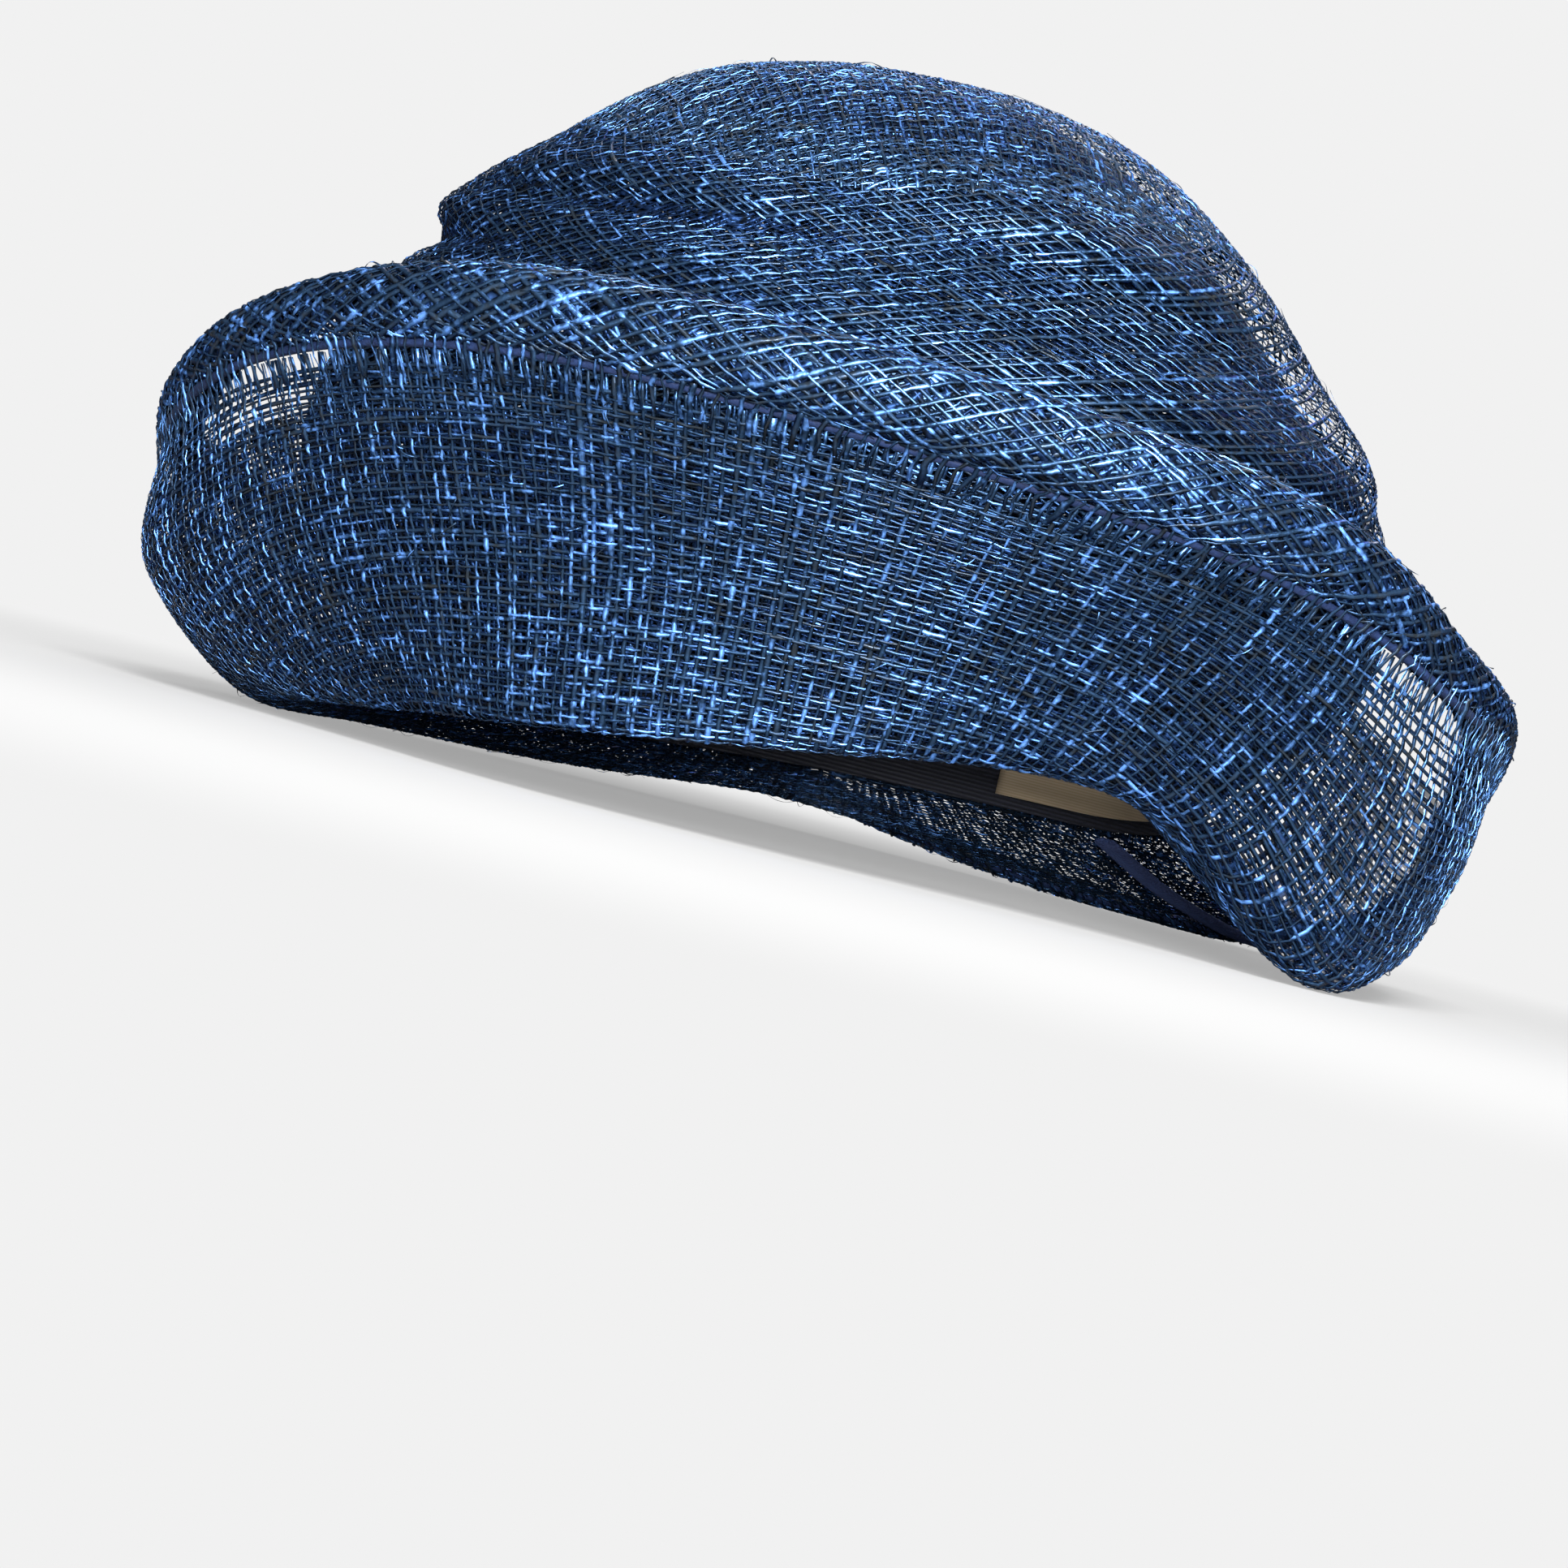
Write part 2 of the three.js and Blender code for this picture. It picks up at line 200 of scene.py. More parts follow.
around = np.arange(0, 360, 1.5)
band_rings = np.stack(band_section(around), axis=1)
headband = loft("grosgrain_headband", settled(band_rings), closed=True)
bevel = headband.modifiers.new("rounded_edges", "BEVEL")
bevel.width = 0.0003
bevel.segments = 2
grosgrain, tree, shader = material("grosgrain")
coords = tree.nodes.new("ShaderNodeTexCoord")
ribs = tree.nodes.new("ShaderNodeTexWave")
ribs.bands_direction = "Z"
ribs.inputs["Scale"].default_value = 320
ribs.inputs["Distortion"].default_value = 0.6
tree.links.new(coords.outputs["Object"], ribs.inputs["Vector"])
two_tone(tree, shader, ribs.outputs["Fac"], (0.0035, 0.0042, 0.009, 1), (0.012, 0.014, 0.026, 1))
relief(tree, shader, ribs.outputs["Fac"], 0.0002)
shader.inputs["Roughness"].default_value = 0.75
headband.data.materials.append(grosgrain)
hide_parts("headband")
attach(headband, "root")

# ---- Crown ----------------------------------------------------------------------------------
# Stiffened open-weave straw, two plies of it, draped on the bias over a dome: a side that puffs
# out over the brim and a flatter cap above it. The threads are flat split fibres.
CROWN_TOP = 172
CROWN_LEAN = 4
RIDGE = 149
# rows of points up the crown, and those of them, from the top, that can carry the cap
CROWN_ROWS = 300
CAP_ROWS = 180
# reach of the crown by which its slanting threads are counted
MEAN_REACH = 110.0
THREAD_LIFT = 0.2
THREAD_DEPTH = 0.22
# threads lower than this above the floor are pressed flat by the hat's weight, in metres
PRESSED = 0.0003
# share of the height, grip of the head line, share of the hip reach
crown_levels = np.array([
    (0, 1, 0.96), (0.06, 0.62, 0.96), (0.13, 0.22, 0.975), (0.22, 0, 0.985), (0.35, 0, 1),
    (0.46, 0, 0.96), (0.56, 0, 0.895), (0.66, 0, 0.8), (0.75, 0, 0.71), (0.83, 0, 0.61),
    (0.9, 0, 0.5), (0.955, 0, 0.37), (0.99, 0, 0.2),
])
# folds of the drape: middle angle, span, height, climb, how far out, breadth
drapes = (
    (303, 48, 126, 0.02, 6, 7.5), (350, 70, 137, 0.03, 4.5, 6), (55, 60, 143, -0.16, 4.5, 7),
    (20, 60, 119, -0.12, 3.5, 6), (75, 50, 110, -0.1, 3.5, 8), (150, 70, 118, 0.12, 3.5, 9),
    (235, 60, 134, -0.1, 3.5, 9),
)
chance = np.random.default_rng(11)


def curve_through(points, t):
    """A smooth curve through points; t runs from 0 to 1. Points come first, then the rest."""
    points = np.asarray(points, float)
    last = len(points) - 1
    where = np.clip(np.asarray(t) * last, 0, last - 1e-9)
    i = where.astype(int)
    w = (where - i).reshape((-1,) + (1,) * (points.ndim - 1))
    p0, p1 = points[np.maximum(i - 1, 0)], points[i]
    p2, p3 = points[np.minimum(i + 1, last)], points[np.minimum(i + 2, last)]
    v0, v1 = (p2 - p0) / 2, (p3 - p1) / 2
    return (
        (2 * p1 - 2 * p2 + v0 + v1) * w**3 + (-3 * p1 + 3 * p2 - 2 * v0 - v1) * w**2 + v0 * w + p1
    )


def drape(angle, height):
    """How far the folds stand out at an angle and a height, with a crease below each."""
    out = np.zeros(np.broadcast(angle, height).shape)
    for middle, span, up, climb, reach, breadth in drapes:
        away = np.mod(angle - middle + 540, 360) - 180
        fade = np.where(abs(away) < span, np.cos(away / span * math.pi / 2) ** 2, 0)
        off = height - up - climb * away
        out = out + reach * fade * np.exp(-((off / breadth) ** 2))
        out = out - 0.75 * reach * fade * np.exp(-(((off + 1.25 * breadth) / 3.5) ** 2))
    return out


def evenly(points, count):
    """The same curves with points evenly spaced along them; axis 0 runs along the curve."""
    step = np.linalg.norm(np.diff(points, axis=0), axis=-1)
    run = np.concatenate((np.zeros((1,) + step.shape[1:]), np.cumsum(step, axis=0)))
    made = np.empty((count,) + points.shape[1:])
    for k in range(points.shape[1]):
        at = np.linspace(0, run[-1, k], count)
        for axis in range(points.shape[2]):
            made[:, k, axis] = np.interp(at, run[:, k], points[:, k, axis])
    return made, run[-1]


class Cloth:
    """A surface round the head: where a thread at an angle and a share of the height lies."""

    def __init__(self, angles, out, up, lean=False):
        self.points = place(angles[None, :], out, up)
        if lean:
            t = np.clip((self.points[..., 2] - CROWN_TOP / 4) / (CROWN_TOP * 3 / 4), 0, 1)
            self.points[..., 0] -= CROWN_LEAN * t * t * (3 - 2 * t)
        along = np.gradient(self.points, axis=0)
        wrapped = np.concatenate((self.points[:, -1:], self.points, self.points[:, :1]), axis=1)
        across = (wrapped[:, 2:] - wrapped[:, :-2]) / 2
        normal = np.cross(across, along)
        self.normals = normal / np.maximum(np.linalg.norm(normal, axis=-1, keepdims=True), 1e-9)

    def at(self, angle, share):
        """Points and normals at angles and shares, between the nearest known ones."""
        rows, turns = self.points.shape[:2]
        v = np.clip(share, 0, 1) * (rows - 1)
        j = np.minimum(v.astype(int), rows - 2)
        u = np.mod(angle, 360) / 360 * turns
        i = u.astype(int) % turns
        fv, fu = (v - j)[..., None], (u - np.floor(u))[..., None]
        k = (i + 1) % turns

        def blend(grid):
            low_row = grid[j, i] * (1 - fu) + grid[j, k] * fu
            high_row = grid[j + 1, i] * (1 - fu) + grid[j + 1, k] * fu
            return low_row * (1 - fv) + high_row * fv

        return blend(self.points), blend(self.normals)


# every half degree round the head
dense = np.arange(720) / 2
foot = round_the_head("headZ", dense) + GAP
hem = foot + COLLAR
profile = []
for rise, grip, reach in crown_levels:
    loose = round_the_head("hipR", dense) * reach
    out = head_line(dense) * grip + loose * (1 - grip)
    profile.append(np.stack((out, hem + rise * (CROWN_TOP - hem)), axis=-1))
profile = curve_through(profile, np.linspace(0, 1, 400))
top = np.zeros((1, len(dense), 2))
top[..., 1] = CROWN_TOP
bottom = np.stack((head_line(dense), foot), axis=-1)[None]
crown_profile, crown_run = evenly(np.concatenate((bottom, profile, top)), CROWN_ROWS)
crown_out = crown_profile[..., 0] + drape(dense[None, :], crown_profile[..., 1])
crown_out[-1] = 0
crown_cloth = Cloth(dense, crown_out, crown_profile[..., 1], lean=True)

# how far the lower plies stay in, at which angle and over how many degrees, from which height
# and over how much of it, and the reach inside which the cap's plies come together again
APART = 7
APART_ANGLE = 108
APART_SPAN = 38
APART_FROM = 92
APART_RISE = 30
TOGETHER_REACH = 60


def set_apart(points, normals):
    """Where the drape lifts off at the wearer's left, the plies under it stay further in."""
    angle = np.mod(np.degrees(np.arctan2(points[..., 0], -points[..., 1])), 360)
    climb = np.clip((points[..., 2] - APART_FROM) / APART_RISE, 0, 1)
    lifted = APART * climb * np.exp(-(((angle - APART_ANGLE) / APART_SPAN) ** 2))
    middle = np.clip(np.hypot(points[..., 0], points[..., 1]) / TOGETHER_REACH, 0, 1)
    return points - normals * (lifted * middle)[..., None]


def spread(values, count):
    """A few values spread evenly over more places."""
    return np.interp(np.linspace(0, 1, count), np.linspace(0, 1, len(values)), values)


def over_and_under(points, normals, first, lift, back):
    """A thread that passes over and under the ones it crosses, by turns."""
    wave = np.where((np.arange(len(points)) + first) % 2 == 0, 1, -1)
    return points + normals * (back + lift * wave)[:, None], normals


def strands(name, runs, widths, depth, tones, twist=13):
    """Threads as one mesh: each a flat, slightly twisted ribbon with a raised back, along its
    own points. runs: a list of (points, normals) in millimetres."""
    verts, faces, tone_of = [], [], []
    base = 0
    for (points, normals), width, tone in zip(runs, widths, tones):
        n = len(points)
        if n < 2:
            continue
        along = np.gradient(points, axis=0)
        along /= np.maximum(np.linalg.norm(along, axis=1, keepdims=True), 1e-9)
        side = np.cross(along, normals)
        side /= np.maximum(np.linalg.norm(side, axis=1, keepdims=True), 1e-9)
        knots = max(2, n // 2)
        roll = spread(chance.normal(0, twist, knots), n)
        roll = np.radians(np.clip(roll, -75, 75))[:, None]
        swell = spread(chance.normal(1, 0.16, knots), n)
        half = (width / 2 * np.clip(swell, 0.6, 1.5))[:, None]
        face = normals * np.cos(roll) - side * np.sin(roll)
        side = side * np.cos(roll) + normals * np.sin(roll)
        deep = np.minimum(depth, half * 0.35)
        ring = np.stack((points - side * half, points + face * deep, points + side * half), axis=1)
        verts.append(ring.reshape(-1, 3))
        k = base + 3 * np.arange(n - 1)[:, None]
        for a, b in ((0, 1), (1, 2), (2, 0)):
            faces.append(np.concatenate((k + a, k + b, k + b + 3, k + a + 3), axis=1))
        spots = chance.uniform(0, 1, max(2, int(n * 0.8)))
        tone_of.append(np.repeat(0.3 * tone + 0.7 * spread(spots, n), 3))
        base += 3 * n
    verts = settled(np.concatenate(verts))
    above_it = verts[:, 2] - PRESSED
    verts[:, 2] = np.where(above_it < 0, PRESSED + above_it * 0.15, verts[:, 2])
    quads = np.concatenate(faces)
    mesh = bpy.data.meshes.new(name)
    mesh.vertices.add(len(verts))
    mesh.vertices.foreach_set("co", verts.ravel())
    mesh.loops.add(quads.size)
    mesh.loops.foreach_set("vertex_index", quads.ravel().astype(np.int32))
    mesh.polygons.add(len(quads))
    mesh.polygons.foreach_set("loop_start", np.arange(0, quads.size, 4, dtype=np.int32))
    mesh.update(calc_edges=True)
    strand = mesh.attributes.new("strand", "FLOAT", "POINT")
    strand.data.foreach_set("value", np.concatenate(tone_of))
    ends = bmesh.new()
    ends.from_mesh(mesh)
    bmesh.ops.holes_fill(ends, edges=[e for e in ends.edges if e.is_boundary], sides=3)
    bmesh.ops.recalc_face_normals(ends, faces=ends.faces)
    ends.to_mesh(mesh)
    ends.free()
    piece = bpy.data.objects.new(name, mesh)
    bpy.context.scene.collection.objects.link(piece)
    return piece


def fibre_widths(count, thin=0.45, thick=1.15):
    """Split straw is uneven: mostly narrow threads, a few broad ones."""
    return thin + (thick - thin) * chance.beta(1.3, 2.2, count)


def socket(group, name, kind, way):
    """An input or output of a shared effect."""
    group.interface.new_socket(name, in_out=way, socket_type="NodeSocket" + kind)


def ramped(nodes, links, value, low, high, bottom=0.0, top=1.0):
    """A value taken from one range to another, smoothly and held at both ends."""
    made = nodes.new("ShaderNodeMapRange")
    made.interpolation_type = "SMOOTHSTEP"
    made.inputs["From Min"].default_value = low
    made.inputs["From Max"].default_value = high
    made.inputs["To Min"].default_value = bottom
    made.inputs["To Max"].default_value = top
    links.new(value, made.inputs["Value"])
    return made.outputs["Result"]


def number(nodes, links, operation, *values):
    """A sum on values, each a plain number or what another node gives."""
    node = nodes.new("ShaderNodeMath")
    node.operation = operation
    for place_in, value in zip(node.inputs, values):
        if isinstance(value, (int, float)):
            place_in.default_value = value
        else:
            links.new(value, place_in)
    return node.outputs[0]


def noise(nodes, links, vector, scale):
    """Soft noise with a little finer detail."""
    made = nodes.new("ShaderNodeTexNoise")
    made.inputs["Scale"].default_value = scale
    links.new(vector, made.inputs["Vector"])
    return made.outputs["Fac"]


def mixed(nodes, links, factor, one, other):
    """A colour between two others."""
    made = nodes.new("ShaderNodeMix")
    made.data_type = "RGBA"
    links.new(factor, made.inputs["Factor"])
    links.new(one, made.inputs["A"])
    links.new(other, made.inputs["B"])
    return made.outputs["Result"]


def dyed_straw_group():
    """Dyed straw: a tone for each strand, from raw dark fibre to bright dye, patches where the
    dye took less, and fine streaks along it."""
    group = bpy.data.node_groups.new("dyed_straw", "ShaderNodeTree")
    socket(group, "Strand", "Float", "INPUT")
    for shade in ("Raw", "Dye", "Bright"):
        socket(group, shade, "Color", "INPUT")
    socket(group, "Color", "Color", "OUTPUT")
    for effect in ("Metallic", "Roughness", "Height"):
        socket(group, effect, "Float", "OUTPUT")
    nodes, links = group.nodes, group.links
    given = nodes.new("NodeGroupInput")
    made = nodes.new("NodeGroupOutput")
    place_on_it = nodes.new("ShaderNodeTexCoord").outputs["Object"]
    patches = noise(nodes, links, place_on_it, 26)
    streaks = noise(nodes, links, place_on_it, 520)
    tone = number(nodes, links, "MULTIPLY_ADD", patches, 0.25, given.outputs["Strand"])
    tone = number(nodes, links, "MULTIPLY_ADD", streaks, 0.8, tone)
    dyed = ramped(nodes, links, tone, 0.6, 1.05)
    bright = ramped(nodes, links, tone, 1.07, 1.47)
    body = mixed(nodes, links, dyed, given.outputs["Raw"], given.outputs["Dye"])
    body = mixed(nodes, links, bright, body, given.outputs["Bright"])
    links.new(body, made.inputs["Color"])
    links.new(ramped(nodes, links, tone, 0.7, 1.2, 0.6, 0.95), made.inputs["Metallic"])
    links.new(ramped(nodes, links, streaks, 0.35, 0.65, 0.32, 0.6), made.inputs["Roughness"])
    links.new(streaks, made.inputs["Height"])
    return group


dyed_straw = dyed_straw_group()


def straw_shades(tree, shader, strand, raw, dye, bright):
    """Dyed straw in its own shades, by the tone of each strand."""
    effect = tree.nodes.new("ShaderNodeGroup")
    effect.node_tree = dyed_straw
    tree.links.new(strand, effect.inputs["Strand"])
    effect.inputs["Raw"].default_value = raw
    effect.inputs["Dye"].default_value = dye
    effect.inputs["Bright"].default_value = bright
    tree.links.new(effect.outputs["Color"], shader.inputs["Base Color"])
    tree.links.new(effect.outputs["Metallic"], shader.inputs["Metallic"])
    tree.links.new(effect.outputs["Roughness"], shader.inputs["Roughness"])
    shader.inputs["Specular Tint"].default_value = (0.12, 0.2, 0.38, 1)
    return effect.outputs["Height"]


def straw_material(name, raw, dye, bright):
    """Straw threads that carry their own tone, with a thin coat of stiffening."""
    made, tree, shader = material(name)
    strand = tree.nodes.new("ShaderNodeAttribute")
    strand.attribute_name = "strand"
    height = straw_shades(tree, shader, strand.outputs["Fac"], raw, dye, bright)
    relief(tree, shader, height, 0.0004, 0.9)
    shader.inputs["Coat Weight"].default_value = 0.05
    shader.inputs["Coat Roughness"].default_value = 0.25
    return made


RAW_FIBRE = (0.010, 0.013, 0.016, 1)
NAVY_DYE = (0.012, 0.028, 0.058, 1)
BRIGHT_DYE = (0.12, 0.28, 0.66, 1)
navy_straw = straw_material("navy_straw", RAW_FIBRE, NAVY_DYE, BRIGHT_DYE)
# The inner plies of the crown and cap are the same straw in darker shades: painted shade for the
# depths behind the outer threads.
painted_shade_inner_straw = straw_material(
    "painted_shade_inner_straw", (0.003, 0.005, 0.008, 1), (0.005, 0.014, 0.040, 1), (0.03, 0.08, 0.2, 1)
)
# The brim's inner ply is the same straw in darker shades: painted shade for the depths behind the
# outer ply.
painted_shade_brim_straw = straw_material(
    "painted_shade_brim_straw", (0.006, 0.009, 0.012, 1), (0.009, 0.024, 0.062, 1), (0.08, 0.2, 0.46, 1)
)


def thread_family_group():
    """One family of fine threads on a flat pattern: where they lie, how round, which tone."""
    group = bpy.data.node_groups.new("thread_family", "ShaderNodeTree")
    socket(group, "Vector", "Vector", "INPUT")
    for size in ("Turn", "Spacing", "Seed"):
        socket(group, size, "Float", "INPUT")
    for effect in ("Thread", "Back", "Tone"):
        socket(group, effect, "Float", "OUTPUT")
    nodes, links = group.nodes, group.links
    given = nodes.new("NodeGroupInput")
    made = nodes.new("NodeGroupOutput")
    turned = nodes.new("ShaderNodeVectorRotate")
    turned.rotation_type = "Z_AXIS"
    links.new(given.outputs["Vector"], turned.inputs["Vector"])
    links.new(given.outputs["Turn"], turned.inputs["Angle"])
    split = nodes.new("ShaderNodeSeparateXYZ")
    links.new(turned.outputs["Vector"], split.inputs["Vector"])
    drift = noise(nodes, links, turned.outputs["Vector"], 0.08)
    across = number(nodes, links, "MULTIPLY_ADD", drift, 5.0, split.outputs["Y"])
    lane = number(nodes, links, "DIVIDE", across, given.outputs["Spacing"])
    which = number(nodes, links, "FLOOR", lane)
    off = number(nodes, links, "SUBTRACT", number(nodes, links, "FRACT", lane), 0.5)
    off = number(nodes, links, "ABSOLUTE", off)
    lot = nodes.new("ShaderNodeTexWhiteNoise")
    lot.noise_dimensions = "1D"
    links.new(number(nodes, links, "ADD", which, given.outputs["Seed"]), lot.inputs["W"])
    half = number(nodes, links, "MULTIPLY_ADD", lot.outputs["Value"], 0.23, 0.14)
    links.new(number(nodes, links, "LESS_THAN", off, half), made.inputs["Thread"])
    part = number(nodes, links, "DIVIDE", off, half)
    squared = number(nodes, links, "MULTIPLY", part, part)
    links.new(number(nodes, links, "SUBTRACT", 1, squared), made.inputs["Back"])
    lengthwise = nodes.new("ShaderNodeCombineXYZ")
    links.new(number(nodes, links, "MULTIPLY", split.outputs["X"], 0.3), lengthwise.inputs["X"])
    links.new(number(nodes, links, "MULTIPLY", which, 3.7), lengthwise.inputs["Y"])
    spots = noise(nodes, links, lengthwise.outputs["Vector"], 1)
    links.new(ramped(nodes, links, spots, 0.3, 0.7), made.inputs["Tone"])
    return group


thread_family = thread_family_group()
# where the middle of the front lies round a fine ply, as a share of the way round
FRONT_IN_UV = 0.58


def fine_ply_material(name, from_uv, scale, turns, spacing, fades=False):
    """The finest threads between the others, as a see-through weave of two families. One that
    fades thins out away from the front."""
    made, tree, shader = material(name)
    nodes, links = tree.nodes, tree.links
    coords = nodes.new("ShaderNodeTexCoord")
    sized = nodes.new("ShaderNodeMapping")
    sized.inputs["Scale"].default_value = scale
    links.new(coords.outputs["UV" if from_uv else "Object"], sized.inputs["Vector"])
    families = []
    for seed, turn in enumerate(turns):
        family = nodes.new("ShaderNodeGroup")
        family.node_tree = thread_family
        links.new(sized.outputs["Vector"], family.inputs["Vector"])
        family.inputs["Turn"].default_value = math.radians(turn)
        family.inputs["Spacing"].default_value = spacing
        family.inputs["Seed"].default_value = 40.5 * seed
        families.append(family)
    one, other = families
    cover = number(nodes, links, "MAXIMUM", one.outputs["Thread"], other.outputs["Thread"])
    if fades:
        apart = nodes.new("ShaderNodeSeparateXYZ")
        links.new(coords.outputs["UV"], apart.inputs["Vector"])
        off = number(nodes, links, "SUBTRACT", apart.outputs["X"], FRONT_IN_UV)
        off = number(nodes, links, "ABSOLUTE", off)
        near_front = ramped(nodes, links, off, 0.16, 0.27, 1.0, 0.0)
        cover = number(nodes, links, "MULTIPLY", near_front, cover)
    links.new(cover, shader.inputs["Alpha"])
    height = number(nodes, links, "MAXIMUM", one.outputs["Back"], other.outputs["Back"])
    tone = nodes.new("ShaderNodeMix")
    links.new(one.outputs["Thread"], tone.inputs["Factor"])
    links.new(other.outputs["Tone"], tone.inputs["A"])
    links.new(one.outputs["Tone"], tone.inputs["B"])
    # The finest threads take much darker shades of the same straw: painted shade for the depths
    # between and behind the plies.
    straw_shades(
        tree, shader, tone.outputs["Result"],
        (0.002, 0.003, 0.005, 1), (0.004, 0.01, 0.03, 1), (0.02, 0.05, 0.14, 1),
    )
    shader.inputs["Specular IOR Level"].default_value = 0.25
    relief(tree, shader, height, 0.0004)
    return made


def fine_ply(name, cloth, share_low, share_high, back, rows, look, apart=False):
    """A thin sheet that follows a cloth from one share of its height to another, with its join
    at the back seam, for the finest threads."""
    bm = bmesh.new()
    bm.loops.layers.uv.new("UVMap")
    bmesh.ops.create_grid(bm, x_segments=144, y_segments=rows, size=1, calc_uvs=True)
    at = np.array([v.co for v in bm.verts])
    share = share_low + (share_high - share_low) * (at[:, 1] + 1) / 2
    points, normals = cloth.at(at[:, 0] * 180 + BACK_SEAM_ANGLE + 180, share)
    if apart:
        points = set_apart(points, normals)
    for vert, p in zip(bm.verts, settled(points + normals * back)):
        vert.co = p
    bmesh.ops.remove_doubles(bm, verts=bm.verts, dist=1e-6)
    bmesh.ops.recalc_face_normals(bm, faces=bm.faces)
    mesh = bpy.data.meshes.new(name)
    bm.to_mesh(mesh)
    bm.free()
    mesh.polygons.foreach_set("use_smooth", [True] * len(mesh.polygons))
    sheet = bpy.data.objects.new(name, mesh)
    bpy.context.scene.collection.objects.link(sheet)
    wall = sheet.modifiers.new("thin_wall", "SOLIDIFY")
    wall.thickness = 0.00015
    wall.offset = 0
    sheet.data.materials.append(look)
    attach(sheet, "root")
    return sheet


def side_threads(cloth, run, slope, spacing, crossing, back, share_low, share_high):
    """One family of slanting threads round a cloth, from its low to its high edge."""
    rise = (share_high - share_low) * float(run.mean())
    steep = math.radians(abs(slope))
    girth = 2 * math.pi * MEAN_REACH
    sweep = rise / math.tan(steep) * 360 / girth * math.copysign(1, slope)
    count = int(round(girth * math.sin(steep) / spacing))
    steps = max(3, int(round(rise / math.sin(steep) / crossing)))
    t = np.linspace(0, 1, steps + 1)
    share = share_low + (share_high - share_low) * t
    made = []
    for k in range(count):
        start = 360 * (k + chance.uniform(-0.28, 0.28)) / count
        wander = spread(chance.normal(0, 0.28, 6), steps + 1)
        points, normals = cloth.at(start + sweep * t + wander, share)
        made.append(over_and_under(points, normals, k, THREAD_LIFT, back))
    return made


def cap_height(cloth, x, y):
    """Points and normals of the cap above places in plan."""
    turns = cloth.points.shape[1]
    angle = np.mod(np.degrees(np.arctan2(x, -y)), 360)
    share = []
    for a, r in zip(angle, np.hypot(x, y)):
        from_top = crown_out[::-1, int(a / 360 * turns) % turns][:CAP_ROWS]
        share.append(1 - np.interp(r, from_top, np.arange(CAP_ROWS)) / (CROWN_ROWS - 1))
    return cloth.at(angle, np.array(share))


def cap_threads(cloth, turn, spacing, back, radius):
    """One family of straight threads across the cap, as far apart as they are crossed."""
    made = []
    d = np.array((math.cos(math.radians(turn)), math.sin(math.radians(turn))))
    n = np.array((-d[1], d[0]))
    count = int(2 * radius / spacing)
    for k in range(count):
        off = -radius + spacing * (k + 0.5 + chance.uniform(-0.25, 0.25))
        half = math.sqrt(max(radius * radius - off * off, 0))
        steps = int(2 * half / spacing)
        if steps < 2:
            continue
        t = np.linspace(-half, half, steps + 1)
        wander = off + spread(chance.normal(0, 0.35, 6), steps + 1)
        points, normals = cap_height(cloth, d[0] * t + n[0] * wander, d[1] * t + n[1] * wander)
        made.append(over_and_under(points, normals, k, THREAD_LIFT, back))
    return made


crown_heights = crown_profile[:, ::40, 1].mean(1)
ridge_share = float(np.interp(RIDGE, crown_heights, np.linspace(0, 1, CROWN_ROWS)))
for name, back, slopes, spacing in (
    ("crown_side_outer_ply", 0.3, (17, -27), 2.3),
    ("crown_side_inner_ply", -0.55, (26, -19), 2.35),
):
    crossing = spacing / math.sin(math.radians(abs(slopes[0]) + abs(slopes[1])))
    runs = []
    for slope in slopes:
        runs += side_threads(
            crown_cloth, crown_run, slope, spacing, crossing, back, 0.004, ridge_share + 0.02
        )
    if back < 0:
        runs = [(set_apart(points, normals), normals) for points, normals in runs]
    widths = fibre_widths(len(runs))
    ply = strands(name, runs, widths, THREAD_DEPTH, chance.uniform(0, 1, len(runs)))
    ply.data.materials.append(navy_straw if back > 0 else painted_shade_inner_straw)
    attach(ply, "root")
    if back > 0:
        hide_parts("crown")
CAP_SPACING = 1.9
cap_reach = float(crown_out[int(ridge_share * (CROWN_ROWS - 1))].mean()) + 3
for name, back, turns, straw in (
    ("crown_cap", 0.35, (50, -40), navy_straw),
    ("crown_cap_inner_ply", -0.5, (62, -30), painted_shade_inner_straw),
):
    runs = []
    for turn in turns:
        runs += cap_threads(crown_cloth, turn, CAP_SPACING, back, cap_reach)
    if back < 0:
        runs = [(set_apart(points, normals), normals) for points, normals in runs]
    widths = fibre_widths(len(runs))
    cap = strands(name, runs, widths, THREAD_DEPTH, chance.uniform(0, 1, len(runs)))
    cap.data.materials.append(straw)
    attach(cap, "root")

fine_side = fine_ply_material("fine_straw_side", True, (730, 150, 1), (19, -24), 1.5)
fine_ply(
    "crown_side_fine_ply", crown_cloth, 0.01, ridge_share + 0.01,
    back=-0.15, rows=24, look=fine_side, apart=True,
)
fine_cap = fine_ply_material("fine_straw_cap", False, (1000, 1000, 1000), (46, -38), 1.5)
fine_ply(
    "crown_cap_fine_ply", crown_cloth, ridge_share - 0.01, 0.9999,
    back=-0.1, rows=20, look=fine_cap, apart=True,
)

# ---- Brim -----------------------------------------------------------------------------------
# The same straw, two plies, blocked in one piece: down and out from the head opening to a fold,
# and up again to the wired edge in front. Threads run up the turn-up and round the head.
WIRE_RADIUS = 1.1
BRIM_ROWS = 200


def brim_place(part, angle):
    """Distance out and height of a part of the brim."""
    return np.stack((round_the_head(part + "R", angle), round_the_head(part + "Z", angle)), axis=-1)


def edge_lean(angle):
    """Direction in which the brim reaches its edge, from upright, leaning out."""
    way = brim_place("edge", angle) - brim_place("belly", angle)
    return np.arctan2(way[..., 0], way[..., 1])


